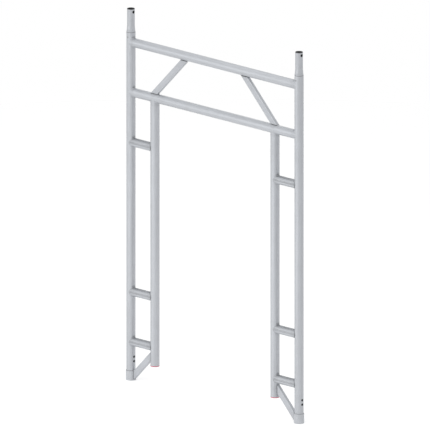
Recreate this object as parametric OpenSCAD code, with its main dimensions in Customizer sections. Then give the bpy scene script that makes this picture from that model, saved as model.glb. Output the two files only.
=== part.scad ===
// Walk-through end frame of an aluminium tower scaffold: two ladder legs under a trussed head.
// X runs across the bay, Y is the frame's depth and Z is up. The origin is on the floor,
// midway between the outer standards. The left side is the mirror image of the right side.
// Every length is in millimetres and every angle in degrees.

/* [Grid] */
// Pitch of the cross tubes, which carries on from frame to frame in a tower
rung_pitch = 280; // [260:5:300]
// Number of pitches in the effective height of one frame
pitch_count = 7; // [6:1:9]
// Height of the lowest rung's axis above the floor
first_rung_z = 216; // [205:1:235]
// Distance between the axes of the two outer standards
bay_w = 1290; // [1200:10:1500]
// Distance between the axes of an outer and an inner standard
leg_w = 184.5; // [165:0.5:215]

/* [Standards] */
// Outer diameter of the outer standards
post_d = 50; // [46:0.5:54]
// Wall of the outer standards
post_wall = 2; // [1.8:0.1:3]
// Outer diameter of the inner standards
inner_post_d = 50; // [44:0.5:52]
// Wall of the inner standards
inner_post_wall = 2; // [1.6:0.1:3]
// Height of the underside of the inner standards' end plugs above the floor
inner_foot_z = 110; // [90:1:115]

/* [Ledgers and rungs] */
// Outer diameter of the two ledgers
ledger_d = 50; // [44:0.5:52]
// Wall of the ledgers
ledger_wall = 2; // [1.6:0.1:3]
// How far a ledger's coped ends reach past the near side of the standards
ledger_ear = 18; // [12:0.5:20]
// Outer diameter of the rungs
rung_d = 48; // [42:0.5:50]
// Wall of the rungs, under the ribs
rung_wall = 2.5; // [2:0.1:3.5]
// How far a rung's coped ends reach past the near side of the standards
rung_ear = 11; // [8:0.5:15]
// Root gap between a tube's cut end and the tube that it is welded to
root_gap = 0.2; // [0.1:0.05:0.5]

/* [Rung grip] */
// Width of one groove of the grip
groove_w = 1.7; // [1.2:0.1:2.2]
// Depth of one groove of the grip
groove_depth = 1; // [0.5:0.1:1.4]
// Distance from groove to groove round the rung
groove_pitch = 3.6; // [3:0.1:5]
// Arc of the ribbed tread on top of a rung
tread_arc = 80; // [50:2:100]
// Arc of the ribbed band on each side of a rung
band_arc = 20; // [12:2:28]
// Height angle of each side band above the rung's axis
band_tilt = 8; // [0:1:12]

/* [Braces] */
// Width of the braces' rectangular tube, in the frame's plane
brace_w = 35; // [28:1:38]
// Depth of the braces' rectangular tube, across the frame's plane
brace_t = 20; // [15:1:26]
// Wall of the braces
brace_wall = 2; // [1.5:0.1:3]
// Outer corner radius of the braces
brace_corner_r = 3; // [2.2:0.1:4]
// Slope of the upper braces
upper_brace_angle = 45; // [38:1:60]
// Clearance from a lower brace's top corner to the underside of the lowest rung
lower_brace_gap = 5.7; // [4:0.1:8]
// Clearance from a lower brace's bottom corner to the floor
lower_brace_lift = 5.2; // [3:0.1:7]

/* [Foot sleeves and sockets] */
// Outer diameter of the foot sleeves
sleeve_d = 56; // [54:0.5:60]
// Height of the foot sleeves
sleeve_h = 55; // [54:0.5:70]
// Radius of the foot sleeves' outer edges
sleeve_edge_r = 1; // [0.5:0.1:2]
// Radial clearance between a standard and what is pressed over it
sleeve_clearance = 0.05; // [0.02:0.01:0.1]
// Radial opening of the socket over the standard's own bore
socket_relief = 0.4; // [0.3:0.05:0.6]
// Depth of the socket that takes the spigot of the frame below
socket_depth = 140; // [130:1:160]

/* [Spigots] */
// Outer diameter of the spigots above their shoulder
spigot_d = 42.2; // [38:0.1:43]
// Wall of the spigots
spigot_wall = 2; // [1.6:0.1:4]
// Length of spigot that is held inside the standard
spigot_insert = 100; // [70:1:140]
// Clearance of the spigot in the standard's bore, and of its collar on the rim
spigot_clearance = 0.05; // [0.02:0.01:0.1]
// Outer diameter of the spigots' collar, which the frame above stands on
collar_d = 48.4; // [47.6:0.1:49.6]
// Height of the collar, from the standard's rim up to the seat
collar_h = 7; // [4:0.5:10]
// Height of the spigot's straight shoulder above the seat
shoulder_h = 9; // [6:1:20]
// Height of the cone above the shoulder
cone_h = 19; // [8:1:24]
// Height of the spigot above its locking hole
spigot_tip_h = 17; // [14:1:30]
// Outer chamfer of the spigot's tip
tip_chamfer = 0.5; // [0.3:0.1:0.7]
// Width and height of the chamfer inside the spigot's mouth
mouth_chamfer = 1; // [0.3:0.1:1]

/* [Locking holes] */
// Height of the lower locking hole above the floor, and of the spigot's hole above the seat
lock_z = 107; // [95:1:110]
// Distance from the lower to the upper locking hole
lock_gap = 25; // [16:1:32]
// Diameter of the locking holes in the standards
lock_d = 11; // [7:0.1:13]
// Diameter of the locking hole in the spigots
spigot_hole_d = 14; // [8:0.1:15]

/* [Rivets] */
// Diameter of the rivets' shanks
rivet_d = 6.4; // [4.8:0.1:8]
// Diameter of the rivets' heads
rivet_head_d = 10; // [9:0.5:12]
// Height of the rivets' heads
rivet_head_h = 1.6; // [1:0.1:2.5]
// Diameter of the rivets' swollen tails
rivet_tail_d = 8.8; // [8.2:0.1:10]
// Length of the rivets' swollen tails
rivet_tail_h = 4; // [2:0.5:6]
// Radial clearance of a rivet in its holes and under its head
rivet_clearance = 0.05; // [0.02:0.01:0.1]
// Distance of the rivets below the rim
rivet_drop = 27; // [22:1:50]

/* [End plugs] */
// Thickness of the end plugs' flange
plug_flange_t = 4; // [2:0.1:5]
// Radius of the flange's edges
plug_edge_r = 0.8; // [0.4:0.1:0.9]
// Length of the end plugs inside the tube
plug_depth = 24; // [18:1:32]
// Wall of the end plugs' cup
plug_wall = 2; // [1.5:0.1:3]
// Height of the fins round the cup
fin_h = 1.2; // [0.8:0.1:2]
// Thickness of one fin
fin_t = 1.5; // [1:0.1:2.5]
// Number of fins on a plug
fin_count = 3; // [2:1:5]
// Radial clearance of the fins in the tube
fin_clearance = 0.1; // [0.05:0.01:0.2]

/* [Hidden] */

$fn = 64;
aluminium = [0.80, 0.81, 0.83];
cast_grey = [0.72, 0.73, 0.75];
plug_red = [0.78, 0.12, 0.16];

// Overlap of a cutting body past the faces that it cuts
cut_over = 5;

frame_h = rung_pitch * pitch_count;
outer_x = bay_w / 2;
inner_x = outer_x - leg_w;

post_r = post_d / 2;
bore_r = post_r - post_wall;
inner_post_r = inner_post_d / 2;
ledger_r = ledger_d / 2;
rung_r = rung_d / 2;
sleeve_r = sleeve_d / 2;
socket_r = bore_r + socket_relief;

top_ledger_z = first_rung_z + (pitch_count - 1) * rung_pitch;
lower_ledger_z = top_ledger_z - rung_pitch;
high_rung_z = lower_ledger_z - rung_pitch;
mid_rung_z = first_rung_z + rung_pitch;

// Clear height between the two ledgers, which the upper braces span
truss_low_z = lower_ledger_z + ledger_r + root_gap;
truss_high_z = top_ledger_z - ledger_r - root_gap;

// A lower brace runs from the foot sleeve's side up to the inner standard's side
brace_half_rise = brace_w / 2 / cos(45);
lower_brace_x = [outer_x - sleeve_r - root_gap, inner_x + inner_post_r + root_gap];
lower_brace_z = [
    lower_brace_lift + brace_half_rise,
    first_rung_z - rung_r - lower_brace_gap - brace_half_rise
];
lower_brace_angle = atan2(lower_brace_z[1] - lower_brace_z[0], lower_brace_x[0] - lower_brace_x[1]);

spigot_r = spigot_d / 2;
insert_r = bore_r - spigot_clearance;
spigot_rise = lock_z + spigot_tip_h;
rim_z = frame_h - collar_h;
rivet_z = rim_z - rivet_drop;

groove_step = groove_pitch / rung_r * 180 / PI;

// ---------------------------------------------------------------- shared shapes

// The left side's piece, from the right side's
module mirrored() {
    mirror([1, 0, 0]) children();
}

// Upright round tube from the floor of its own frame
module tube(r, wall, h) {
    difference() {
        cylinder(r = r, h = h);
        translate([0, 0, -cut_over]) cylinder(r = r - wall, h = h + 2 * cut_over);
    }
}

// Whole cylinder of a standard, enlarged by a gap, that a tube's end is coped to
module standard_envelope(x, r) {
    translate([x, 0, -cut_over]) cylinder(r = r + root_gap, h = frame_h + 2 * cut_over);
}

// Lays a 2-D section along X between two places at a height
module along_x(x0, x1, z) {
    translate([x0, 0, z]) rotate([90, 0, 90]) linear_extrude(x1 - x0) children();
}

// Hole along X through a tube that stands on the axis at x
module cross_hole(x, z, d) {
    translate([x - post_d, 0, z]) rotate([0, 90, 0]) cylinder(d = d, h = 2 * post_d);
}

// Holes for the two rivets, front and back
module rivet_holes() {
    translate([outer_x, -post_d, rivet_z]) rotate([-90, 0, 0])
        cylinder(r = rivet_d / 2 + rivet_clearance, h = 2 * post_d);
}

// ---------------------------------------------------------------- sub-parts

// Outer standard: the tube that stands on the tube below, with a socket in its foot
module outer_standard_right() {
    color(aluminium) difference() {
        translate([outer_x, 0, 0]) tube(post_r, post_wall, rim_z);
        translate([outer_x, 0, -cut_over]) cylinder(r = socket_r, h = socket_depth + cut_over);
        cross_hole(outer_x, lock_z, lock_d);
        cross_hole(outer_x, lock_z + lock_gap, lock_d);
        rivet_holes();
    }
}
module outer_standard_left() { mirrored() outer_standard_right(); }

// Inner standard: hangs under the lower ledger and ends short of the floor
module inner_standard_right() {
    tube_z = inner_foot_z + plug_flange_t;
    tube_h = lower_ledger_z - ledger_r + ledger_ear - tube_z;
    color(aluminium) difference() {
        translate([inner_x, 0, tube_z]) tube(inner_post_r, inner_post_wall, tube_h);
        along_x(0, outer_x, lower_ledger_z) circle(r = ledger_r + root_gap);
    }
}
module inner_standard_left() { mirrored() inner_standard_right(); }

// Ledger: a full-width tube coped to both outer standards
module ledger(z) {
    end_x = outer_x - post_r + ledger_ear;
    color(aluminium) difference() {
        along_x(-end_x, end_x, z) difference() {
            circle(r = ledger_r);
            circle(r = ledger_r - ledger_wall);
        }
        standard_envelope(outer_x, post_r);
        standard_envelope(-outer_x, post_r);
    }
}
module top_ledger() { ledger(top_ledger_z); }
module lower_ledger() { ledger(lower_ledger_z); }

// One run of grooves, spread evenly to both sides of an angle
module grooves(angle, arc) {
    reach = floor(arc / 2 / groove_step);
    for (i = [-reach : reach])
        rotate(angle + i * groove_step)
            translate([rung_r - groove_depth, -groove_w / 2])
                square([groove_depth + cut_over, groove_w]);
}

// Section of a rung: a round tube with a ribbed tread on top and a ribbed band on each side
module rung_section() {
    difference() {
        circle(r = rung_r);
        circle(r = rung_r - rung_wall);
        grooves(90, tread_arc);
        grooves(band_tilt, band_arc);
        grooves(180 - band_tilt, band_arc);
    }
}

// Rung: coped to the inner and the outer standard of one leg
module rung(z) {
    color(aluminium) difference() {
        along_x(inner_x + inner_post_r - rung_ear, outer_x - post_r + rung_ear, z) rung_section();
        standard_envelope(inner_x, inner_post_r);
        standard_envelope(outer_x, post_r);
    }
}
module rung_right_low() { rung(first_rung_z); }
module rung_right_mid() { rung(mid_rung_z); }
module rung_right_high() { rung(high_rung_z); }
module rung_left_low() { mirrored() rung_right_low(); }
module rung_left_mid() { mirrored() rung_right_mid(); }
module rung_left_high() { mirrored() rung_right_high(); }

// Rectangle with round corners, centred
module rounded_rectangle(w, h, r) {
    square([w - 2 * r, h], center = true);
    square([w, h - 2 * r], center = true);
    for (sx = [-1, 1], sy = [-1, 1])
        translate([sx * (w / 2 - r), sy * (h / 2 - r)]) circle(r = r);
}

// Rectangular tube through a point of the frame's plane, sloping down towards +X
module sloping_tube(x, z, angle, length) {
    translate([x, 0, z]) rotate([0, 90 + angle, 0]) translate([0, 0, -length / 2])
        linear_extrude(length) difference() {
            rounded_rectangle(brace_w, brace_t, brace_corner_r);
            rounded_rectangle(
                brace_w - 2 * brace_wall, brace_t - 2 * brace_wall, brace_corner_r - brace_wall);
        }
}

// Upper brace: from above the inner standard up to the top ledger, both ends cut level
module upper_brace_right() {
    mid_z = (truss_low_z + truss_high_z) / 2;
    mid_x = inner_x - (mid_z - truss_low_z) / tan(upper_brace_angle);
    clear_h = truss_high_z - truss_low_z;
    color(aluminium) intersection() {
        sloping_tube(mid_x, mid_z, upper_brace_angle, 2 * clear_h + 2 * brace_w);
        translate([mid_x - 2 * clear_h, -brace_t, truss_low_z])
            cube([4 * clear_h, 2 * brace_t, clear_h]);
    }
}
module upper_brace_left() { mirrored() upper_brace_right(); }

// Lower brace: from the foot sleeve up to the inner standard, both ends cut upright
module lower_brace_right() {
    mid_x = (lower_brace_x[0] + lower_brace_x[1]) / 2;
    mid_z = (lower_brace_z[0] + lower_brace_z[1]) / 2;
    span = lower_brace_x[0] - lower_brace_x[1];
    color(aluminium) intersection() {
        sloping_tube(mid_x, mid_z, lower_brace_angle, 3 * span);
        translate([lower_brace_x[1], -brace_t, mid_z - 2 * span])
            cube([span, 2 * brace_t, 4 * span]);
    }
}
module lower_brace_left() { mirrored() lower_brace_right(); }

// Foot sleeve: a ring round the standard's foot, with rounded outer edges
module foot_sleeve_right() {
    inner_r = post_r + sleeve_clearance;
    edge_x = sleeve_r - sleeve_edge_r;
    color(aluminium) translate([outer_x, 0, 0]) rotate_extrude() union() {
        translate([inner_r, 0]) square([edge_x - inner_r, sleeve_h]);
        translate([inner_r, sleeve_edge_r])
            square([sleeve_r - inner_r, sleeve_h - 2 * sleeve_edge_r]);
        translate([edge_x, sleeve_edge_r]) circle(r = sleeve_edge_r);
        translate([edge_x, sleeve_h - sleeve_edge_r]) circle(r = sleeve_edge_r);
    }
}
module foot_sleeve_left() { mirrored() foot_sleeve_right(); }

// Spigot: a swaged tube, wide where the standard holds it and slim where the next frame slips over,
// with a collar between the standard's rim and the seat of the next frame
module spigot_right() {
    collar_r = collar_d / 2;
    spigot_bore_r = spigot_r - spigot_wall;
    cone_top = shoulder_h + cone_h;
    color(aluminium) difference() {
        translate([outer_x, 0, frame_h]) rotate_extrude() polygon([
            [insert_r, -collar_h - spigot_insert],
            [insert_r, spigot_clearance - collar_h],
            [collar_r, spigot_clearance - collar_h],
            [collar_r, 0],
            [insert_r, 0],
            [insert_r, shoulder_h],
            [spigot_r, cone_top],
            [spigot_r, spigot_rise - tip_chamfer],
            [spigot_r - tip_chamfer, spigot_rise],
            [spigot_bore_r + mouth_chamfer, spigot_rise],
            [spigot_bore_r, spigot_rise - mouth_chamfer],
            [spigot_bore_r, cone_top],
            [insert_r - spigot_wall, shoulder_h],
            [insert_r - spigot_wall, -collar_h - spigot_insert]
        ]);
        cross_hole(outer_x, frame_h + lock_z, spigot_hole_d);
        rivet_holes();
    }
}
module spigot_left() { mirrored() spigot_right(); }

// One blind rivet on the +Y side: domed head saddled on the standard, shank, swollen tail
module blind_rivet() {
    head_r = rivet_head_d / 2;
    tail_r = rivet_tail_d / 2;
    dome_r = (head_r * head_r + rivet_head_h * rivet_head_h) / (2 * rivet_head_h);
    spigot_bore_r = insert_r - spigot_wall;
    tail_y = sqrt(spigot_bore_r * spigot_bore_r - tail_r * tail_r) - rivet_clearance;
    translate([outer_x, 0, rivet_z]) {
        difference() {
            intersection() {
                translate([0, post_r + rivet_head_h - dome_r, 0]) sphere(r = dome_r);
                translate([0, post_r - rivet_head_h, 0]) rotate([-90, 0, 0])
                    cylinder(r = head_r, h = 3 * rivet_head_h);
            }
            translate([0, 0, -post_r]) cylinder(r = post_r + rivet_clearance, h = 2 * post_r);
        }
        translate([0, tail_y - rivet_tail_h, 0]) rotate([-90, 0, 0])
            cylinder(r = tail_r, h = rivet_tail_h);
        translate([0, tail_y - rivet_tail_h / 2, 0]) rotate([-90, 0, 0])
            cylinder(d = rivet_d, h = post_r + rivet_head_h / 2 - tail_y + rivet_tail_h / 2);
    }
}

// The two rivets that fix one spigot, front and back
module spigot_rivets_right() {
    color(cast_grey) {
        blind_rivet();
        mirror([0, 1, 0]) blind_rivet();
    }
}
module spigot_rivets_left() { mirrored() spigot_rivets_right(); }

// End plug: a flange under the tube's end and a finned cup inside the tube
module end_plug_right() {
    fin_r = inner_post_r - inner_post_wall - fin_clearance;
    cup_r = fin_r - fin_h;
    edge_x = inner_post_r - plug_edge_r;
    fin_pitch = plug_depth / (fin_count + 0.5);
    color(plug_red) translate([inner_x, 0, inner_foot_z]) rotate_extrude() union() {
        square([edge_x, plug_flange_t]);
        translate([0, plug_edge_r]) square([inner_post_r, plug_flange_t - 2 * plug_edge_r]);
        translate([edge_x, plug_edge_r]) circle(r = plug_edge_r);
        translate([edge_x, plug_flange_t - plug_edge_r]) circle(r = plug_edge_r);
        translate([cup_r - plug_wall, 0]) square([plug_wall, plug_flange_t + plug_depth]);
        for (i = [1 : fin_count])
            translate([cup_r - plug_wall / 2, plug_flange_t + i * fin_pitch])
                square([fin_h + plug_wall / 2, fin_t]);
    }
}
module end_plug_left() { mirrored() end_plug_right(); }

outer_standard_left();
outer_standard_right();
inner_standard_left();
inner_standard_right();
top_ledger();
lower_ledger();
rung_left_low();
rung_left_mid();
rung_left_high();
rung_right_low();
rung_right_mid();
rung_right_high();
upper_brace_left();
upper_brace_right();
lower_brace_left();
lower_brace_right();
foot_sleeve_left();
foot_sleeve_right();
spigot_left();
spigot_right();
spigot_rivets_left();
spigot_rivets_right();
end_plug_left();
end_plug_right();
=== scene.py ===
# %% [markdown]
# # A walk-through scaffold frame, dressed in Blender
#
# The real object is the end frame of an aluminium tower scaffold: two ladder-like legs under a
# trussed head, welded from drawn tube. Its shape is already right when it is loaded, so this
# notebook adds what a drawing can't hold: the welds, the finish of each metal, and plain light.
# All lengths are in metres, and all colours are linear red, green, blue and alpha.

# %% Load the frame
import math

import bpy
import numpy as np
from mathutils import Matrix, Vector


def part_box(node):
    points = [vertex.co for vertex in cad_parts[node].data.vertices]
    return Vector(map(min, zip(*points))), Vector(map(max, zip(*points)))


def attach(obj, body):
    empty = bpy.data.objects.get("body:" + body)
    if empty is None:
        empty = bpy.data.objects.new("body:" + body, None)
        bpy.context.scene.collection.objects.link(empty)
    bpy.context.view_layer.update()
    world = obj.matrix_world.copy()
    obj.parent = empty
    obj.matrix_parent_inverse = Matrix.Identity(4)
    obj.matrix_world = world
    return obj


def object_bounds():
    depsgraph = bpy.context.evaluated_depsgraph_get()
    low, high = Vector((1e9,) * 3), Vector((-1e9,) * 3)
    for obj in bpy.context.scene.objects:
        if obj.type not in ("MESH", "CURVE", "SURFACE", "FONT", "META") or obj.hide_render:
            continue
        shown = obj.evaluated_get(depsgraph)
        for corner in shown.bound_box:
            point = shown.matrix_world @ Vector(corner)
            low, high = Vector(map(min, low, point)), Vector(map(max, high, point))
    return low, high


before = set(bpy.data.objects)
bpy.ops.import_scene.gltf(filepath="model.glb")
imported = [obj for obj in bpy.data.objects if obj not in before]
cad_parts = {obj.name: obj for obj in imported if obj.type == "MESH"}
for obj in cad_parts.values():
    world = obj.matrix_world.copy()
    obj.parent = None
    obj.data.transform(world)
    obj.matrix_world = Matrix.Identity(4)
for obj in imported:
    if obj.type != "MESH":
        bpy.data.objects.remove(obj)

cad_low, cad_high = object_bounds()
print("frame box, m:", [round(b - a, 3) for a, b in zip(cad_low, cad_high)])

# %% [markdown]
# ## The camera
#
# The frame is looked at from its front right corner, a little above level. A parallel view keeps
# upright tubes parallel, as a catalogue view does. A view in perspective would be truer to an eye
# close by, but long tubes would lean. The camera is aimed at the middle of the frame's box.

# %% Camera
AZIMUTH = math.radians(45)  # round from the front, towards the right
ELEVATION = math.radians(15)  # above level
VIEW_WIDTH = 2.333
VIEW_RAISE = 0.0033
CAMERA_DISTANCE = 6.0  # clear of the frame, and a parallel view has no other use for it

scene = bpy.context.scene
camera = bpy.data.objects.new("camera", bpy.data.cameras.new("camera"))
scene.collection.objects.link(camera)
scene.camera = camera
camera.data.type = "ORTHO"
camera.data.ortho_scale = VIEW_WIDTH

aim = (cad_low + cad_high) / 2
level = math.cos(ELEVATION)
away = Vector((math.sin(AZIMUTH) * level, -math.cos(AZIMUTH) * level, math.sin(ELEVATION)))
camera.data.shift_y = VIEW_RAISE / VIEW_WIDTH
camera.location = aim + away * CAMERA_DISTANCE
camera.rotation_euler = away.to_track_quat("Z", "Y").to_euler()
print("camera aims at", [round(c, 3) for c in aim])

# %% [markdown]
# ## Writing a finish as sums
#
# A finish is a tree of nodes. Wiring each Math node by hand hides the idea, so one small class
# stands for a node's output: adding or multiplying two of them adds the Math node. Every other
# node comes from one method, which takes its kind, its settings and what goes into its sockets.

# %% Node tree helpers


class Reading:
    """A number or colour that a node gives out."""

    def __init__(self, finish, socket):
        self.finish, self.socket = finish, socket

    def math(self, operation, first, second=0.0):
        return self.finish.node("Math", {"operation": operation}, {0: first, 1: second})

    def __add__(self, other):
        return self.math("ADD", self, other)

    def __sub__(self, other):
        return self.math("SUBTRACT", self, other)

    def __rsub__(self, other):
        return self.math("SUBTRACT", other, self)

    def __mul__(self, other):
        return self.math("MULTIPLY", self, other)

    def least(self, other):
        return self.math("MINIMUM", self, other)

    def most(self, other):
        return self.math("MAXIMUM", self, other)

    __radd__, __rmul__ = __add__, __mul__


class Finish:
    """The node tree of one material, or of the world."""

    def __init__(self, owner):
        owner.use_nodes = True
        self.owner, self.tree = owner, owner.node_tree
        self.tree.nodes.clear()

    def node(self, kind, settings=None, sockets=None, output=0):
        """Adds a node, makes its settings, fills its sockets and gives one output back."""
        made = self.tree.nodes.new("ShaderNode" + kind)
        for name, value in (settings or {}).items():
            setattr(made, name, value)
        for name, value in (sockets or {}).items():
            if isinstance(value, Reading):
                self.tree.links.new(value.socket, made.inputs[name])
            else:
                made.inputs[name].default_value = value
        return Reading(self, made.outputs[output]) if made.outputs else made

    def ramp(self, value, low, high):
        """0 where value is at low, 1 where it is at high, and a smooth rise between them."""
        return self.node(
            "MapRange",
            {"interpolation_type": "SMOOTHSTEP"},
            {"Value": value, "From Min": low, "From Max": high},
        )

    def blend(self, share, first, second):
        """The first colour where share is 0, the second where it is 1."""
        return self.node("Mix", {"data_type": "RGBA"}, {0: share, 6: first, 7: second}, output=2)

    def stretch(self, place, per_metre):
        """The place, with each axis multiplied by its own number."""
        return self.node("VectorMath", {"operation": "MULTIPLY"}, {0: place, 1: per_metre})

    def noise(self, place, detail=2.0, roughness=0.5):
        """Smooth random values round 0.5, one blot to each unit of place."""
        wanted = {"Vector": place, "Scale": 1.0, "Detail": detail, "Roughness": roughness}
        return self.node("TexNoise", None, wanted)

    def distance(self, place, point):
        """How far the place is from a point."""
        return self.node("VectorMath", {"operation": "DISTANCE"}, {0: place, 1: point}, output=1)


print("a finish offers", [name for name in vars(Finish) if name[0] != "_"])

# %% [markdown]
# ## Where the tubes meet
#
# Every later step needs the tubes' axes and radii. They could be typed in, but then a change of the
# frame would leave the welds behind. So they are read from the loaded nodes' boxes. The right side
# is measured, and the left side is its mirror image.

# %% Sizes read from the nodes
SIDES = {"left": -1, "right": 1}
LEVELS = ("low", "mid", "high")


def middle(node):
    """Middle of a node's box."""
    low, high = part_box(node)
    return (low + high) / 2


def size(node):
    """Lengths of a node's box along X, Y and Z."""
    low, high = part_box(node)
    return high - low


outer_x = middle("outer_standard_right").x
inner_x = middle("inner_standard_right").x
post_r = size("outer_standard_right").y / 2
ledger_r = size("top_ledger").y / 2
rung_r = size("rung_right_low").y / 2
sleeve_r = size("foot_sleeve_right").y / 2
rim_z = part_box("outer_standard_right")[1].z
rung_z = {level: middle(f"rung_right_{level}").z for level in LEVELS}
top_z, lower_z = middle("top_ledger").z, middle("lower_ledger").z
head_end = lower_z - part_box("inner_standard_right")[1].z
tip_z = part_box("spigot_right")[1].z
rung_end = outer_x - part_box("rung_right_low")[1].x
ledger_end = outer_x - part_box("top_ledger")[1].x
sleeve_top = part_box("foot_sleeve_right")[1].z
brace_half = size("upper_brace_right").y / 2
print("standards at", round(outer_x, 4), round(inner_x, 4))
print("rungs at", {level: round(z, 3) for level, z in rung_z.items()})

# %% [markdown]
# ## Weld beads
#
# A tube joint on such a frame is closed by a thin bead with a ripple for each dab of the filler
# rod. A bead could be a curve with a round bevel, but a bevel has no ripples. Here it is a skin
# worked out point by point: a circle is carried along the line where two surfaces meet, pushed out
# a little between them, and its radius swells once for each ripple.

# %% Rings of a bead
BEAD_R = 0.0018
BEAD_LIFT = 0.0003
RIPPLE = 0.0030  # length of one ripple
RIPPLE_DEPTH = 0.16  # share of the radius
RIPPLE_MEAN = 0.6  # about the mean of |cos|, so that ripples don't thicken the bead
CRESCENT = 0.45  # how far a ripple's flanks lag behind its middle, in ripples
HAND_DEPTHS = (0.07, 0.05)  # share of the radius, for each slow wave of the hand
HAND_RATES = (0.061, 0.023)  # radians from ring to ring, for each slow wave
PER_RIPPLE = 6  # rings to a ripple
AROUND = 12  # points round a ring


def unit(vectors):
    """Each row divided by its own length."""
    return vectors / np.linalg.norm(vectors, axis=-1, keepdims=True)


def bead_rings(path, outward, closed):
    """Rings of points round a path.

    Ring i is path[i] + lift * b + r * (cos v * b + sin v * s), where t is the path's direction,
    b is the outward direction made square to t, and s = b x t. The radius is
    r = bead radius * (1 + depth * (|cos(pi * (i / rings per ripple + lag))| - mean)), and the lag
    grows with sin(v) squared, which bends each ripple into a crescent. A closed bead also swells
    and thins in two slow waves, as a hand does, that start differently at each height. An open
    bead is rounded off by the root of 1 - u^8, for u from -1 at one end to 1 at the other.
    """
    count = len(path)
    ahead = np.roll(path, -1, 0) - np.roll(path, 1, 0) if closed else np.gradient(path, axis=0)
    t = unit(ahead)
    b = unit(outward - (outward * t).sum(1, keepdims=True) * t)
    s = np.cross(b, t)
    v = np.linspace(0, 2 * np.pi, AROUND, endpoint=False)
    step = np.arange(count)[:, None]
    lag = CRESCENT * np.sin(v) ** 2
    swell = np.abs(np.cos(np.pi * (step / PER_RIPPLE + lag))) - RIPPLE_MEAN
    if closed:
        starts = (path[0, 2] * 40, 1)
        waves = zip(HAND_DEPTHS, HAND_RATES, starts)
        hand = sum(depth * np.sin(step * rate + start) for depth, rate, start in waves)
        r = BEAD_R * (1 + RIPPLE_DEPTH * swell + hand)
    else:
        along = np.linspace(-1, 1, count)[:, None]
        r = BEAD_R * (1 + RIPPLE_DEPTH * swell) * np.sqrt(np.clip(1 - along**8, 0.0004, 1))
    around = np.cos(v)[None, :, None] * b[:, None] + np.sin(v)[None, :, None] * s[:, None]
    return (path + BEAD_LIFT * b)[:, None] + r[..., None] * around


print("a bead has", PER_RIPPLE * AROUND, "faces to a ripple")

# %% [markdown]
# ### From rings to a skin
#
# Points alone show nothing. Each pair of neighbouring rings is joined by quads, all numbered at
# once from two index grids. A bead round a tube closes on itself. A short one has two open ends,
# and a fan of triangles to a point in the middle of each shuts them.

# %% Skin of a bead


def skin(rings, closed, first):
    """Vertices, and faces numbered from first: quads between rings, and a fan on each open end."""
    count, around = rings.shape[:2]
    i, j = np.meshgrid(np.arange(count if closed else count - 1), np.arange(around), indexing="ij")
    i, j, up, over = i.ravel(), j.ravel(), (i.ravel() + 1) % count, (j.ravel() + 1) % around
    quads = np.stack([i * around + j, up * around + j, up * around + over, i * around + over], 1)
    points = rings.reshape(-1, 3)
    faces = (quads + first).tolist()
    if not closed:
        j = np.arange(around)
        over, last = (j + 1) % around, (count - 1) * around
        start, end = count * around, count * around + 1
        points = np.vstack([points, rings[0].mean(0), rings[-1].mean(0)])
        faces += (np.stack([start + 0 * j, j, over], 1) + first).tolist()
        faces += (np.stack([end + 0 * j, last + over, last + j], 1) + first).tolist()
    return points, faces


small = skin(np.zeros((3, 4, 3)), False, 0)[1]
print("an open skin of 3 rings of 4 points has", len(small), "faces")

# %% [markdown]
# ### Saddles
#
# Where a tube runs square into another, its end is coped to a saddle. That line could be found by
# cutting one mesh with another, but it has a formula, which gives clean, even points. Two tubes of
# one size would make a sharp corner at each side, so the line is rounded off there, and it is sunk
# into the metal, because a full bead on two skins that run almost level would stand proud.

# %% Line of a saddle
ROUNDING = 0.0012
SINK = 0.0015
SADDLE_LENGTH = 1.1  # a saddle's length as a share of its tube's own circle, roughly


def saddle(centre, branch, post, branch_radius, post_radius):
    """Line round a branch tube where it meets a post tube, and the outward direction on it.

    With d the branch's direction, h the post's axis and w = h x d, the point at angle a is
    centre + d * sqrt(R^2 - (r cos a)^2) + w * r cos a + h * r sin a, for r and R the radii.
    The outward direction is the sum of the two surfaces' normals there. The square root has a
    small length added to it, which rounds off the corner that tubes of one size make. At the
    sides the two skins run almost level, so the line is sunk there by up to SINK.
    """
    d, h = np.array(branch, float), np.array(post, float)
    w = np.cross(h, d)
    ripples = round(SADDLE_LENGTH * 2 * np.pi * branch_radius / RIPPLE)
    a = np.linspace(0, 2 * np.pi, ripples * PER_RIPPLE, endpoint=False)[:, None]
    side = branch_radius * np.cos(a)
    reach = np.sqrt(np.maximum(post_radius**2 - side**2, 0) + ROUNDING**2)
    path = np.array(centre) + d * reach + w * side + h * branch_radius * np.sin(a)
    post_normal = unit(d * reach + w * side)
    branch_normal = w * np.cos(a) + h * np.sin(a)
    outward = unit(post_normal + branch_normal)
    return path - SINK * np.cos(a) ** 2 * outward, outward


sample = saddle((0, 0, 0), (1, 0, 0), (0, 0, 1), rung_r, post_r)[0]
depth = round(np.ptp(sample[:, 0]) * 1000, 1)
print("a rung's saddle has", len(sample), "rings and is", depth, "mm deep")

# %% [markdown]
# ### Cheeks
#
# A saddle's two ears run out to a feather edge, so on the frame they are cut off square. Weld metal
# fills the small open lens that each cut leaves. Filling it by a thicker bead would bulge, so two
# thin patches carry the tube's own wall on to the post.

# %% Patches at a saddle's sides
CHEEK_ROWS = 17
WALL, INSET = 0.002, 0.00005


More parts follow.
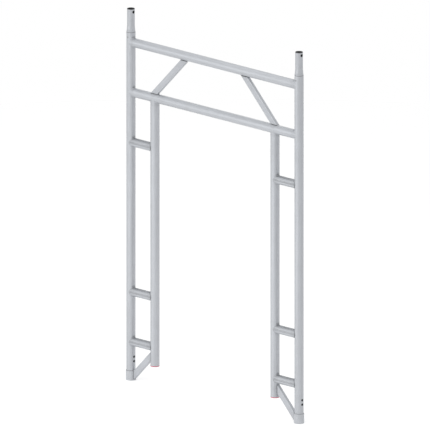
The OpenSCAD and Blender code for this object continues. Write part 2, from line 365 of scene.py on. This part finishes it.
def cheeks(centre, branch, post, branch_radius, post_radius, ear_end):
    """Two patches that carry a branch tube's wall from the flat ends of its ears to the post.

    At angle a round the branch, a patch spans the distances along d from sqrt(R^2 - (r cos a)^2)
    to the ear's end, on the branch's skin and again one wall further in. It is widest at the
    tube's side, and ends where the saddle comes out past the ear.
    """
    d, h = np.array(branch, float), np.array(post, float)
    w = np.cross(h, d)
    limit = math.acos(math.sqrt(post_radius**2 - ear_end**2) / branch_radius)
    a = np.linspace(-limit, limit, CHEEK_ROWS)[:, None]
    patches = []
    for sign in (-1, 1):
        corners = []
        for depth, at_post in ((INSET, 1), (INSET, 0), (INSET + WALL, 0), (INSET + WALL, 1)):
            r = branch_radius - depth
            side = sign * r * np.cos(a)
            reach = np.sqrt(np.maximum(post_radius**2 - side**2, 0))
            along = np.minimum(reach, ear_end) if at_post else ear_end + 0 * a
            corners.append(np.array(centre) + d * along + w * side + h * r * np.sin(a))
        patches.append(np.stack(corners if sign > 0 else corners[::-1], 1))
    return patches


print("an ear's cut end stands", round(rung_end * 1000, 1), "mm from the axis it runs to")

# %% [markdown]
# ### Brace edges
#
# Where a flat-cut brace rests on a round tube, only its two short edges touch closely enough to
# weld. Its bead is a short arc over the tube, as wide as the brace's flat.

# %% Line of a brace's edge
BRACE_WIDTH = 0.035
BRACE_CUT = BRACE_WIDTH * math.sqrt(2)  # length of the end of a brace cut at 45 degrees
BRACE_CORNER = 0.0015  # half of the brace's corner radius, where its arcs stop


def brace_edge(centre, facing, post, post_radius, face_normal, half_width):
    """Short arc over a tube at a brace's end, and the outward direction on it.

    The point at y is centre + facing * sqrt(R^2 - y^2) + Y * y, for y across the brace.
    """
    d, w = np.array(facing, float), np.cross(post, facing)
    count = PER_RIPPLE * round(2 * half_width / RIPPLE) + 1
    y = np.linspace(-half_width, half_width, count)[:, None]
    reach = np.sqrt(post_radius**2 - y**2)
    path = np.array(centre) + d * reach + w * y
    return path, unit(unit(d * reach + w * y) + np.array(face_normal, float))


print("a brace's cut end is", round(BRACE_CUT * 1000, 1), "mm long")

# %% [markdown]
# ### Every joint of one side
#
# A side has six rung ends, the two ledgers' ends, the inner standard's top, and the eight short
# arcs of its two braces. A rung and a ledger run along X into a post along Z. The inner standard
# runs along Z into a ledger along X. Listing them by direction keeps one formula for all.

# %% Lists of joints
X, Z = np.array([1.0, 0, 0]), np.array([0, 0, 1.0])


def joints(side):
    """The skins of every tube joint of one side, by the name of the piece that they go into."""
    s = SIDES[side]
    outer, inner = s * outer_x, s * inner_x
    rungs = [((outer, 0, z), -s * X, Z, rung_r, post_r, rung_end) for z in rung_z.values()]
    rungs += [((inner, 0, z), s * X, Z, rung_r, post_r, rung_end) for z in rung_z.values()]
    head = [((outer, 0, z), -s * X, Z, ledger_r, post_r, ledger_end) for z in (top_z, lower_z)]
    head.append(((inner, 0, lower_z), -Z, X, post_r, ledger_r, head_end))
    skins = {}
    for name, places in ((f"weld_rungs_{side}", rungs), (f"weld_head_{side}", head)):
        skins[name] = [(bead_rings(*saddle(*place[:5]), True), True) for place in places]
        skins[name] += [(rings, False) for place in places for rings in cheeks(*place)]
    return skins


def brace_joints(side):
    """The skins of the short arcs at both ends of one side's two braces.

    A brace slopes up and inwards, so its two narrow faces point up and outwards, and down and in.
    """
    s = SIDES[side]
    upper, lower = (s * X + Z) / math.sqrt(2), (-s * X - Z) / math.sqrt(2)
    low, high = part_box(f"upper_brace_{side}")
    inner_end, outer_end = (low.x, high.x) if s > 0 else (high.x, low.x)
    half = brace_half - BRACE_CORNER
    arcs = []
    for x, face in ((outer_end, upper), (outer_end - s * BRACE_CUT, lower)):
        arcs.append(brace_edge((x, 0, lower_z), Z, X, ledger_r, face, half))
    for x, face in ((inner_end + s * BRACE_CUT, upper), (inner_end, lower)):
        arcs.append(brace_edge((x, 0, top_z), -Z, X, ledger_r, face, half))
    low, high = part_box(f"lower_brace_{side}")
    for z, face in ((low.z + BRACE_CUT, upper), (low.z, lower)):
        arcs.append(brace_edge((s * outer_x, 0, z), -s * X, Z, sleeve_r, face, half))
    for z, face in ((high.z, upper), (high.z - BRACE_CUT, lower)):
        arcs.append(brace_edge((s * inner_x, 0, z), s * X, Z, post_r, face, half))
    return {f"weld_braces_{side}": [(bead_rings(*arc, False), False) for arc in arcs]}


print("skins to a side:", {name: len(skins) for name, skins in joints("right").items()})

# %% [markdown]
# ### Making the beads
#
# A piece for each bead would fill the list with names, and one piece for all could have only one
# finish. So the beads of one kind on one side become one mesh. It sits at the origin with its place
# in its points, as the loaded nodes do, and rides on the frame's only body.

# %% Bead meshes
CREASE = math.radians(50)  # edges sharper than this stay sharp


def make_piece(name, skins):
    """One mesh from several skins, riding on the frame."""
    points, faces = [], []
    for rings, closed in skins:
        some, more = skin(rings, closed, sum(map(len, points)))
        points.append(some)
        faces += more
    mesh = bpy.data.meshes.new(name)
    mesh.from_pydata(np.vstack(points).tolist(), [], faces)
    mesh.shade_smooth()
    mesh.set_sharp_from_angle(angle=CREASE)
    piece = bpy.data.objects.new(name, mesh)
    scene.collection.objects.link(piece)
    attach(piece, "root")
    print(name, len(skins), "skins", len(faces), "faces")
    return piece


welds = []
for side in SIDES:
    for name, skins in {**joints(side), **brace_joints(side)}.items():
        welds.append(make_piece(name, skins))

# %% [markdown]
# ## One surface for all metals
#
# Aluminium could be a pure mirror with roughness, but mill-finished tube has a thin grey oxide on
# it, which scatters light as paint does. So the surface is less than half metal, and the rest is
# plain colour. Every metal here ends in the same two nodes, which one function makes.

# %% Surface
METAL = 0.45
# Near-black, painted as shade in gaps, corners, hole rims and bores; in the bores it also stands
# for a little oxide.
SHADE_COLOUR = (0.040, 0.041, 0.043, 1)


def principled(finish, **sockets):
    """Principled surface wired to the output. Underscores in names stand for spaces."""
    wanted = {name.replace("_", " "): value for name, value in sockets.items()}
    shader = finish.node("BsdfPrincipled", None, wanted)
    finish.node("OutputMaterial", None, {"Surface": shader})


print("metal share", METAL)

# %% [markdown]
# ## Masks by place
#
# Painted shade darkens the line over a sleeve, the rim round a hole, a corner over a joint, and the
# bore of an open tube, where light falls short; in the bore it also stands for a little oxide. It
# could be painted on by hand, but then each tube would need a picture. A mask worked out from the
# place needs none: it is a distance, turned into a number from 0 to 1. Distances are taken on the
# place with its signs dropped, so one point serves both legs.

# %% Painted shade masks
RIM_NEAR, RIM_FAR, HOLE_SHADE_SHARE = 0.0008, 0.0024, 0.9
BORE_NEAR, BORE_FAR = 0.0004, 0.0015  # below the outer skin, so the mask starts inside the wall


def nearest(finish, place, points):
    """How far the place is from the nearest of some points."""
    near = finish.distance(place, points[0])
    for point in points[1:]:
        near = near.least(finish.distance(place, point))
    return near


# A line of painted shade, as at a gap or a step.
def shade_line(axis_value, height, reach):
    """1 close to one height along an axis, and 0 further from it than reach."""
    gap = axis_value.math("ABSOLUTE", axis_value - height)
    return 1 - axis_value.finish.ramp(gap, 0.3 * reach, reach)


# The bore that this mask marks is painted dark as shade, with a little oxide.
def inside_tube(finish, mirrored, radius):
    """1 on the bore of the tubes that stand on the outer standards' axes, 0 on their outside."""
    level = finish.stretch(mirrored, (1, 1, 0))
    reach = finish.distance(level, (outer_x, 0, 0))
    return 1 - finish.ramp(reach, radius - BORE_FAR, radius - BORE_NEAR)


# The rims that this mask marks are painted with shade, round each hole.
def hole_rims(finish, mirrored, radius, holes):
    """1 at the edge of the holes through the outer standards' axes, 0 a little further off.

    holes holds the height and radius of each. Both walls that a hole crosses get a rim.
    """
    x, y, z = (finish.node("SeparateXYZ", None, {0: mirrored}, output=i) for i in range(3))
    across = x.math("ABSOLUTE", x - outer_x)
    rims = None
    for height, hole_r in holes:
        here = finish.node("CombineXYZ", None, {0: across, 1: y, 2: z})
        near = finish.distance(here, (math.sqrt(radius**2 - hole_r**2), 0, height))
        rim = 1 - finish.ramp(near, hole_r + RIM_NEAR, hole_r + RIM_FAR)
        rims = rim if rims is None else rims.most(rim)
    return rims


# The rims are painted with shade, which reaches this far.
print("rims are dirty up to", round(RIM_FAR * 1000, 1), "mm from a hole")

# %% [markdown]
# ## Painted shade on one end of each rung
#
# The beads at the rungs' right ends are dark, and those at their left ends are clean. The dark is
# painted shade, for the crevice where each rung runs behind a post in this view, and it needs only
# a colour. That may be smut from welding, or gaps left open, which would look much the same. It is
# shown as smut, because that needs only a colour. A mirrored place can't tell right from left, so
# this mask reads the plain one, and measures it from the two posts on whose left side the dark
# beads lie.

# %% Painted shade mask at the rungs' right ends
END_SHADE_NEAR, END_SHADE_FAR, END_SHADE_SHARE = 0.001, 0.004, 0.65
shading_posts = [(-inner_x, 0, 0), (outer_x, 0, 0)]


def end_shade(finish, place):
    """1 close to the skins of the posts beside the shaded rung ends, and 0 further off."""
    near = nearest(finish, finish.stretch(place, (1, 1, 0)), shading_posts)
    return 1 - finish.ramp(near, post_r + END_SHADE_NEAR, post_r + END_SHADE_FAR)


# These posts stand beside the rung ends that get painted shade.
print("smutted posts stand at", [round(x, 3) for x, _, _ in shading_posts])

# %% [markdown]
# ## Ribbed rungs
#
# A rung has fine grooves along it for grip. They are cut in the frame's own mesh, but so thin that
# light alone hardly shows them, so shade is painted into them, and the crests are rubbed brighter.
# The upper side is painted darker as shade too. Deeper grooves would show better, but they would be
# wrong, so all three are masks on the colour.

# %% Rung wear and painted shade
# Dull metal, for heat and rubs, and on the rungs for painted shade.
DULL_AND_SHADE = (0.330, 0.340, 0.355, 1)
BRIGHT = (0.680, 0.700, 0.735, 1)
CREST_SHARE, TOP_SHADE_SHARE, GROOVE_SHADE_SHARE = 0.12, 0.28, 0.65
GROOVE_NEAR, GROOVE_FAR = 0.0002, 0.0009  # below the crests
TOP_SHADE_NEAR, TOP_SHADE_FAR, TOP_SHADE_END = 0.002, 0.007, 0.002  # below the axis twice, and over the top
rung_axes = [(0, 0, z) for z in rung_z.values()]


def rung_grooves(finish, place):
    """1 in a groove, where the skin lies closer to the rung's axis, and 0 on the crests."""
    depth = nearest(finish, finish.stretch(place, (0, 1, 1)), rung_axes)
    return 1 - finish.ramp(depth, rung_r - GROOVE_FAR, rung_r - GROOVE_NEAR)


# This mask paints shade over the upper side of each rung.
def rung_top_shade(finish, height):
    """1 on the upper side of every rung, and 0 a little below its axis."""
    top_shades = [
        finish.ramp(height, z - TOP_SHADE_FAR, z - TOP_SHADE_NEAR)
        * (1 - finish.ramp(height, z + rung_r, z + rung_r + TOP_SHADE_END))
        for z in rung_z.values()
    ]
    return top_shades[0].most(top_shades[1]).most(top_shades[2])


def worn_shaded_rung(finish, place, height, groove, colour):
    """The colour with brighter crests, and painted shade over the top, in the grooves and at the
    right ends.
    """
    # Painted shade over the top, in the grooves, and at the rungs' right ends.
    crests = finish.blend(CREST_SHARE, colour, BRIGHT)
    top_shaded = finish.blend(TOP_SHADE_SHARE * rung_top_shade(finish, height), crests, DULL_AND_SHADE)
    shaded = finish.blend(GROOVE_SHADE_SHARE * groove, top_shaded, DULL_AND_SHADE)
    return finish.blend(END_SHADE_SHARE * end_shade(finish, place), shaded, SHADE_COLOUR)


print("ribbed rungs:", 2 * len(rung_axes))

# %% [markdown]
# ## Drawn aluminium
#
# The tubes are mill-finished: the die leaves fine lines along them, handling leaves a few dull
# rubs across them, and the metal is a shade duller near each weld. A Wave texture would make lines
# as even as a ruler's. These are noise squeezed across the tube and left long along it. Squeezing
# needs the tube's direction, so a Mapping node first turns the place until the tube runs along Z.

# %% Tube finish
TUBE_LIGHT = (0.560, 0.580, 0.613, 1)
TUBE_DARK = (0.495, 0.512, 0.540, 1)
LINES, BANDS, RUBS = (620, 620, 5), (85, 85, 1.4), (70, 70, 1100)  # to a metre, along each axis
BLOTS = (16, 16, 16)
RUB_FROM, RUB_TO = 0.64, 0.76  # the highest noise values, so rubs are rare
HEAT_NEAR, HEAT_FAR, HEAT_STRAY = 0.026, 0.034, 0.012  # the last makes its edge uneven
HEAT_SHARE, RUB_SHARE = 0.12, 0.22
# Painted shade in the corner over each joint.
CORNER_NEAR, CORNER_FAR, CORNER_SHADE_SHARE = 0.003, 0.020, 0.45
BUMP, BUMP_DEPTH = 0.40, 0.0002


def drawn_aluminium(
    name, turn, joints_at, crowns=(), ribbed=False, bore_of=None, shade_lines=(), holes=()
):
    """Satin drawn tube.

    turn is the angle about Y that stands the tube upright. joints_at are the welds that dull
    it. crowns are the tops of joints, whose corners get painted shade. ribbed tubes are the rungs.
    bore_of is the radius of a tube whose bore can be seen into; the bore gets painted shade.
    shade_lines holds an axis number, a place on that axis, the painted shade's reach, and its
    share. holes holds the height and radius of each locking hole, whose rim gets painted shade.

    The share of the light tone is a half, plus bands, blots and fine lines, each less its mean.
    The roughness is 0.40, plus lines and blots in the same way, and more on heated or rubbed metal.
    """
    finish = Finish(bpy.data.materials.new(name))
    place = finish.node("TexCoord", output="Object")
    upright = finish.node("Mapping", None, {"Vector": place, "Rotation": (0, turn, 0)})
    lines = finish.noise(finish.stretch(upright, LINES), 3, 0.6)
    bands = finish.noise(finish.stretch(upright, BANDS), 2)
    blots = finish.noise(finish.stretch(place, BLOTS), 4, 0.6)
    rubs = finish.ramp(finish.noise(finish.stretch(upright, RUBS), 2), RUB_FROM, RUB_TO)
    rubs = rubs * finish.ramp(blots, 0.5, 0.62)
    mirrored = finish.node("VectorMath", {"operation": "ABSOLUTE"}, {0: place})
    axes = [finish.node("SeparateXYZ", None, {0: mirrored}, output=i) for i in range(3)]
    near = nearest(finish, mirrored, joints_at) + HEAT_STRAY * (blots - 0.5)
    heat = 1 - finish.ramp(near, HEAT_NEAR, HEAT_FAR)
    share = 0.5 + 1.5 * (bands - 0.5) + 1.1 * (blots - 0.5) + 1.5 * (lines - 0.5)
    colour = finish.blend(finish.ramp(share, 0, 1), TUBE_DARK, TUBE_LIGHT)
    colour = finish.blend(HEAT_SHARE * heat + RUB_SHARE * rubs, colour, DULL_AND_SHADE)
    rough = 0.40 + 0.24 * (lines - 0.5) + 0.24 * (blots - 0.5) + 0.12 * heat + 0.10 * rubs
    height = 0.7 * lines + 0.3 * blots - 0.5 * rubs
    if ribbed:
        groove = rung_grooves(finish, place)
        colour = worn_shaded_rung(finish, place, axes[2], groove, colour)
        rough = rough + 0.12 * groove
    # Painted shade in the corners over the joints.
    if crowns:
        corner = 1 - finish.ramp(nearest(finish, mirrored, crowns), CORNER_NEAR, CORNER_FAR)
        colour = finish.blend(CORNER_SHADE_SHARE * corner, colour, SHADE_COLOUR)
    # Painted shade along lines at gaps, steps and brace ends.
    for axis, value, reach, share in shade_lines:
        colour = finish.blend(share * shade_line(axes[axis], value, reach), colour, SHADE_COLOUR)
    # Painted shade round each hole.
    if holes:
        rims = hole_rims(finish, mirrored, bore_of, holes)
        colour = finish.blend(HOLE_SHADE_SHARE * rims, colour, SHADE_COLOUR)
    # Painted shade in the bore, with a little oxide, and rougher.
    if bore_of:
        inside = inside_tube(finish, mirrored, bore_of)
        colour = finish.blend(inside, colour, SHADE_COLOUR)
        rough = rough + 0.3 * inside
    bump = {"Strength": BUMP, "Distance": BUMP_DEPTH, "Height": height}
    normal = finish.node("Bump", None, bump)
    principled(finish, Base_Color=colour, Metallic=METAL, Roughness=rough, Normal=normal)
    return finish.owner


print("drawn lines to a metre round a tube:", LINES[0])

# %% [markdown]
# ## Where each tube is dulled and where shade is painted
#
# A finish needs the places of its tube's joints. A list for each tube would be long, so tubes of
# one kind share one finish, and each reads the joints of its whole kind on the mirrored place. The
# braces slope two ways, so each has a finish of its own, turned by its own angle.

# %% Joint places
upper_brace, upper_size = middle("upper_brace_right"), size("upper_brace_right")
brace_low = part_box("lower_brace_right")[0]
brace_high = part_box("lower_brace_right")[1]
brace_joints_at = [
    (upper_brace.x + (upper_size.x - BRACE_CUT) / 2, 0, lower_z + ledger_r),
    (upper_brace.x - (upper_size.x - BRACE_CUT) / 2, 0, top_z - ledger_r),
    (brace_high.x, 0, brace_low.z + BRACE_CUT / 2),
    (brace_low.x, 0, brace_high.z - BRACE_CUT / 2),
]
head_joint = (inner_x, 0, lower_z - ledger_r)
rung_outer = [(outer_x - post_r, 0, z) for z in rung_z.values()]
rung_inner = [(inner_x + post_r, 0, z) for z in rung_z.values()]
ledger_ends = [(outer_x - post_r, 0, z) for z in (top_z, lower_z)]
outer_crowns = [(x, y, z + rung_r) for x, y, z in rung_outer]
inner_crowns = [(x, y, z + rung_r) for x, y, z in rung_inner]
ledger_crowns = [(x, y, z + ledger_r) for x, y, z in ledger_ends]
print("joints near which the outer standards are dulled:", len(rung_outer + ledger_ends))

# %% Tube finishes
QUARTER, EIGHTH = math.radians(90), math.radians(45)
LOCK_Z, LOCK_GAP, LOCK_R = 0.107, 0.025, 0.0055  # lower hole's height, up to the next, radius
# The outer standards get painted shade in a line over each sleeve and at the rim, round the holes
# and in the bore.
outer_finish = drawn_aluminium(
    "standard_drawn", 0, rung_outer + ledger_ends, outer_crowns + ledger_crowns,
    bore_of=post_r, shade_lines=[(2, sleeve_top, 0.0015, 0.5), (2, rim_z, 0.0010, 0.85)],
    holes=[(LOCK_Z, LOCK_R), (LOCK_Z + LOCK_GAP, LOCK_R)],
)
inner_finish = drawn_aluminium(
    "inner_standard_drawn", 0, rung_inner + [head_joint] + brace_joints_at[3:], inner_crowns
)
ledger_finish = drawn_aluminium(
    "ledger_drawn", -QUARTER, ledger_ends + [head_joint] + brace_joints_at[:2], ledger_crowns
)
rung_finish = drawn_aluminium(
    "rung_ribbed", -QUARTER, rung_outer + rung_inner, outer_crowns + inner_crowns, ribbed=True
)
# Painted shade along each end of a brace, where it meets a tube.
brace_shade_lines = {
    "upper": [(2, lower_z + ledger_r, 0.004, 0.85), (2, top_z - ledger_r, 0.004, 0.85)],
    "lower": [(0, outer_x - sleeve_r, 0.004, 0.7), (0, inner_x + post_r, 0.004, 0.7)],
}
brace_finish = {
    f"{level}_brace_{side}": drawn_aluminium(
        f"{level}_brace_drawn_{side}", s * EIGHTH, brace_joints_at, shade_lines=lines
    )
    for side, s in SIDES.items()
    for level, lines in brace_shade_lines.items()
}
tube_finishes = (outer_finish, inner_finish, ledger_finish, rung_finish, *brace_finish.values())
print("tube finishes:", [finish.name for finish in tube_finishes])

# %% [markdown]
# ## Turned and swaged metal
#
# The spigots are pressed to shape and slid in and out of other frames, so they carry fine rings
# and long bright rubs. The foot sleeves are turned rings, knocked bright at their lower edge. Both
# could share the tubes' finish, but their lines run round them. So the noise is squeezed along Z
# here, and no turn is needed, because all of them stand upright.

# %% Turned finish
# Painted shade in a bore, lighter near its mouth.
MOUTH_SHADE = (0.120, 0.122, 0.126, 1)
WORN = (0.62, 0.64, 0.67, 1)
WORN_FADE, MOUTH = 0.003, 0.010
RINGS, SPOTS, SLIDES = (25, 25, 1500), (60, 60, 30), (420, 420, 14)  # to a metre, along each axis


def turned_aluminium(name, light, dark, slides, shade_lines, worn_below=0.0, bore_of=None, holes=()):
    """Ringed metal, with upright rubs as strong as slides, from 0 to 1.

    shade_lines holds heights that get painted shade, the shade's reach, and its share. The metal is
    knocked bright below one height. bore_of is the radius of a tube whose bore can be seen into.
    Its bore gets painted shade, lighter at its mouth and darker further down.
    """
    finish = Finish(bpy.data.materials.new(name))
    place = finish.node("TexCoord", output="Object")
    rings = finish.noise(finish.stretch(place, RINGS), 3, 0.6)
    blots = finish.noise(finish.stretch(place, SPOTS), 4, 0.6)
    rubs = finish.ramp(finish.noise(finish.stretch(place, SLIDES), 2), 0.58, 0.70)
    rubs = rubs * finish.ramp(blots, 0.42, 0.6) * slides
    z = finish.node("SeparateXYZ", None, {0: place}, output=2)
    worn = 1 - finish.ramp(z, worn_below, worn_below + WORN_FADE)
    mirrored = finish.node("VectorMath", {"operation": "ABSOLUTE"}, {0: place})
    share = finish.ramp(0.5 + 1.2 * (blots - 0.5) + 1.5 * (rings - 0.5), 0, 1)
    colour = finish.blend(share, dark, light)
    colour = finish.blend(0.25 * rubs + 0.35 * worn, colour, WORN)
    # Painted shade in lines at some heights.
    for height, reach, share in shade_lines:
        colour = finish.blend(share * shade_line(z, height, reach), colour, SHADE_COLOUR)
    # Painted shade round each hole.
    if holes:
        rims = hole_rims(finish, mirrored, bore_of, holes)
        colour = finish.blend(HOLE_SHADE_SHARE * rims, colour, SHADE_COLOUR)
    rough = 0.40 + 0.26 * (rings - 0.5) + 0.24 * (blots - 0.5) - 0.06 * rubs - 0.08 * worn
    # Painted shade in the bore: lighter at the mouth, darker further down.
    if bore_of:
        inside = inside_tube(finish, mirrored, bore_of)
        deep = 1 - finish.ramp(z, tip_z - MOUTH, tip_z)
        colour = finish.blend(inside, colour, finish.blend(deep, MOUTH_SHADE, SHADE_COLOUR))
        rough = rough + 0.3 * inside
    height = rings + 0.4 * blots - 0.4 * rubs
    bump = {"Strength": BUMP, "Distance": BUMP_DEPTH, "Height": height}
    normal = finish.node("Bump", None, bump)
    principled(finish, Base_Color=colour, Metallic=METAL, Roughness=rough, Normal=normal)
    return finish.owner


print("rings to a metre:", RINGS[2])

# %% Spigot and sleeve finishes
SPIGOT_LIGHT, SPIGOT_DARK = (0.550, 0.570, 0.603, 1), (0.485, 0.502, 0.530, 1)
SLEEVE_LIGHT, SLEEVE_DARK = (0.580, 0.600, 0.633, 1), (0.515, 0.532, 0.560, 1)
SPIGOT_R, SPIGOT_LOCK_R = 0.0211, 0.0070
STACK_Z = 1.960  # where the next frame stands
# Painted shade in a line at the rim, in a band at the tip, round the locking hole and in the bore.
spigot_finish = turned_aluminium(
    "spigot_swaged", SPIGOT_LIGHT, SPIGOT_DARK, 1.0, [(rim_z, 0.0018, 0.85), (tip_z, 0.0045, 0.85)],
    bore_of=SPIGOT_R, holes=[(STACK_Z + LOCK_Z, SPIGOT_LOCK_R)],
)
# Painted shade in a line at the sleeve's top.
sleeve_finish = turned_aluminium(
    "sleeve_turned", SLEEVE_LIGHT, SLEEVE_DARK, 0.0, [(sleeve_top, 0.0018, 0.5)], worn_below=0.001
)
print("turned finishes:", spigot_finish.name, sleeve_finish.name)

# %% [markdown]
# ## Rivets and welds
#
# A rivet's head is formed cold, and a bead is cast on the spot, so neither has lines from a die.
# They could share the tubes' finish, but its lines would cross the beads' ripples. So their noise
# is left round, as blots of two tones under a fine grain. The rungs' beads are painted darker than
# the rest, as shade in the crevices round the rungs, and carry the painted shade at the rungs'
# right ends.

# %% Fused finish
GRAIN = (2400, 2400, 2400)
FAINT = 0.2  # strength of the bump


def fused_aluminium(name, light, dark, per_metre, shading=False):
    """Metal that was melted or formed cold: blotched, with no direction."""
    finish = Finish(bpy.data.materials.new(name))
    place = finish.node("TexCoord", output="Object")
    blots = finish.noise(finish.stretch(place, (per_metre,) * 3), 4, 0.65)
    grain = finish.noise(finish.stretch(place, GRAIN), 2)
    colour = finish.blend(finish.ramp(blots, 0.36, 0.64), dark, light)
    # Painted shade at the rungs' right ends.
    if shading:
        colour = finish.blend(END_SHADE_SHARE * end_shade(finish, place), colour, SHADE_COLOUR)
    rough = 0.42 + 0.25 * (blots - 0.5) + 0.1 * (grain - 0.5)
    height = grain + 0.5 * blots
    bump = {"Strength": FAINT, "Distance": BUMP_DEPTH, "Height": height}
    normal = finish.node("Bump", None, bump)
    principled(finish, Base_Color=colour, Metallic=METAL, Roughness=rough, Normal=normal)
    return finish.owner


RIVET_LIGHT, RIVET_DARK = (0.38, 0.39, 0.40, 1), (0.28, 0.285, 0.295, 1)
WELD_LIGHT, WELD_DARK = (0.60, 0.618, 0.648, 1), (0.50, 0.515, 0.54, 1)
# The rungs' beads are painted darker, as shade in the crevices round the rungs.
SHADED_WELD_LIGHT, SHADED_WELD_DARK = (0.48, 0.495, 0.52, 1), (0.38, 0.39, 0.41, 1)
rivet_finish = fused_aluminium("rivet_plain", RIVET_LIGHT, RIVET_DARK, 300)
weld_finish = fused_aluminium("weld_rippled", WELD_LIGHT, WELD_DARK, 180)
rung_weld = fused_aluminium("weld_shaded", SHADED_WELD_LIGHT, SHADED_WELD_DARK, 180, shading=True)
print("fused finishes:", [finish.name for finish in (rivet_finish, weld_finish, rung_weld)])

# %% [markdown]
# ## The red end plugs
#
# The plugs are moulded plastic: an even strong red, a fine spark-eroded grain, and paler rubs
# where the flange meets the world. The grain could be real bumps in the mesh, but bumps of half a
# millimetre need very many faces, so it is a bump in the finish. Plastic has no metal in it.

# %% Plug finish
PLUG_RED, PLUG_RUBBED = (0.70, 0.045, 0.120, 1), (0.76, 0.22, 0.29, 1)
PLUG_GRAIN, PLUG_BLOTS = (1800, 1800, 1800), (120, 120, 120)
PLUG_BUMP = 0.3


def moulded_red(name):
    """Grained red plastic, rubbed pale in places."""
    finish = Finish(bpy.data.materials.new(name))
    place = finish.node("TexCoord", output="Object")
    grain = finish.noise(finish.stretch(place, PLUG_GRAIN), 2)
    blots = finish.noise(finish.stretch(place, PLUG_BLOTS), 3)
    rubs = finish.ramp(blots, 0.58, 0.72)
    colour = finish.blend(0.35 * rubs, PLUG_RED, PLUG_RUBBED)
    rough = 0.45 + 0.2 * (grain - 0.5) + 0.12 * rubs
    bump = {"Strength": PLUG_BUMP, "Distance": BUMP_DEPTH, "Height": grain}
    normal = finish.node("Bump", None, bump)
    principled(finish, Base_Color=colour, Metallic=0.0, Roughness=rough, Normal=normal)
    return finish.owner


plug_finish = moulded_red("plug_red")
print("plug finish:", plug_finish.name)

# %% [markdown]
# ## Putting the finishes on
#
# The loaded nodes keep their meshes and their slots. Only the material in each slot changes. A
# list of all 24 names would be long, so a finish is chosen by how the node's name starts, and one
# entry serves both sides. The braces have an entry for each, because each has its own finish.

# %% Put the finishes on
finish_of = {
    "outer_standard": outer_finish,
    "inner_standard": inner_finish,
    "top_ledger": ledger_finish,
    "lower_ledger": ledger_finish,
    "rung": rung_finish,
    "foot_sleeve": sleeve_finish,
    "spigot_rivets": rivet_finish,  # before the spigots, whose names start the same way
    "spigot": spigot_finish,
    "end_plug": plug_finish,
    **brace_finish,
}
for name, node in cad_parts.items():
    chosen = next(finish for start, finish in finish_of.items() if name.startswith(start))
    for slot in node.material_slots:
        slot.material = chosen
for piece in welds:
    piece.data.materials.append(rung_weld if "rungs" in piece.name else weld_finish)
print("dressed", len(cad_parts), "nodes and", len(welds), "weld pieces")

# %% [markdown]
# ## Floor and background
#
# The background is plain white. A square floor would show its edge against that. So the floor is
# a pale disc that keeps the frame's soft shadow and fades out before it ends.

# %% Floor
FLOOR_R, FLOOR_CORNERS = 9.0, 96
FADE_FROM, FADE_TO = 3.0, 8.0
FLOOR_GREY = 0.90
FLOOR_GLOW = 0.45


def white_for_seen_rays(finish):
    """1 on rays from the camera, and on rays that mirror or glass sends on; 0 on the rest."""
    rays = [
        finish.node("LightPath", output=name)
        for name in ("Is Camera Ray", "Is Glossy Ray", "Is Transmission Ray")
    ]
    return rays[0].most(rays[1]).most(rays[2])


def make_floor():
    """A disc, with a finish that lets go of the light towards its edge.

    Corner i is at the angle 2 pi i / n round the origin, at the floor's radius.
    """
    a = np.linspace(0, 2 * np.pi, FLOOR_CORNERS, endpoint=False)
    rim = np.stack([FLOOR_R * np.cos(a), FLOOR_R * np.sin(a), 0 * a], 1)
    mesh = bpy.data.meshes.new("floor")
    mesh.from_pydata(rim.tolist(), [], [list(range(len(rim)))])
    floor = bpy.data.objects.new("floor", mesh)
    scene.collection.objects.link(floor)
    finish = Finish(bpy.data.materials.new("floor_pale"))
    place = finish.node("TexCoord", output="Object")
    lit = finish.node("BsdfDiffuse", None, {"Color": (FLOOR_GREY,) * 3 + (1,)})
    glow = finish.node("Emission", None, {"Strength": FLOOR_GLOW * white_for_seen_rays(finish)})
    surface = finish.node("AddShader", None, {0: lit, 1: glow})
    clear = finish.node("BsdfTransparent")
    faded = finish.ramp(finish.distance(place, (0, 0, 0)), FADE_FROM, FADE_TO)
    shown = finish.node("MixShader", None, {0: faded, 1: surface, 2: clear})
    finish.node("OutputMaterial", None, {"Surface": shown})
    mesh.materials.append(finish.owner)
    return floor


floor = make_floor()
print("floor radius", FLOOR_R)

# %% [markdown]
# ## Light
#
# An even sky lights every side, at about half the strength of the white that the camera sees. A
# large soft lamp stands in front of the frame, a little to the left, so the tubes' front flanks are
# brighter than their sides. It is far off, so that both legs get the same light. A weak lamp low
# down does the same for the feet, where the pale floor would even them out, and one overhead lifts
# the tops. A single hard lamp would be simpler, but it would throw one tube's shadow on another.

# %% Sky and lamps
SKY = 0.55
# Each lamp's place, what it faces, its lengths and its power in watts.
LAMPS = {
    "front_lamp": ((-3.4, -12.0, 4.4), (0, 0, 1.04), (12.0, 8.2), 420.0),
    "low_lamp": ((-0.2, -1.8, 0.45), (0, 0, 0.1), (3.0, 0.7), 3.0),
    "top_lamp": ((0.8, -0.5, 5.5), (0.3, 0, 1.0), (5.0, 5.0), 50.0),
}


def make_lamp(name, place, target, lengths, power):
    """A rectangular lamp at a place, facing a target."""
    lamp = bpy.data.objects.new(name, bpy.data.lights.new(name, "AREA"))
    scene.collection.objects.link(lamp)
    lamp.data.shape = "RECTANGLE"
    lamp.data.size, lamp.data.size_y = lengths
    lamp.data.energy = power
    lamp.location = place
    lamp.rotation_euler = (Vector(target) - Vector(place)).to_track_quat("-Z", "Y").to_euler()
    return lamp


for name, choices in LAMPS.items():
    make_lamp(name, *choices)

scene.world = bpy.data.worlds.new("sky")
sky = Finish(scene.world)
seen = white_for_seen_rays(sky)
strength = SKY + (1 - SKY) * seen
shine = sky.node("Background", None, {"Color": (1, 1, 1, 1), "Strength": strength})
sky.node("OutputWorld", None, {"Surface": shine})
scene.view_settings.view_transform = "Standard"
print("sky", SKY, "lamps", len(LAMPS))

# %% [markdown]
# ## The frame's size
#
# The welds and patches must not make the frame bigger than it was when it was loaded.
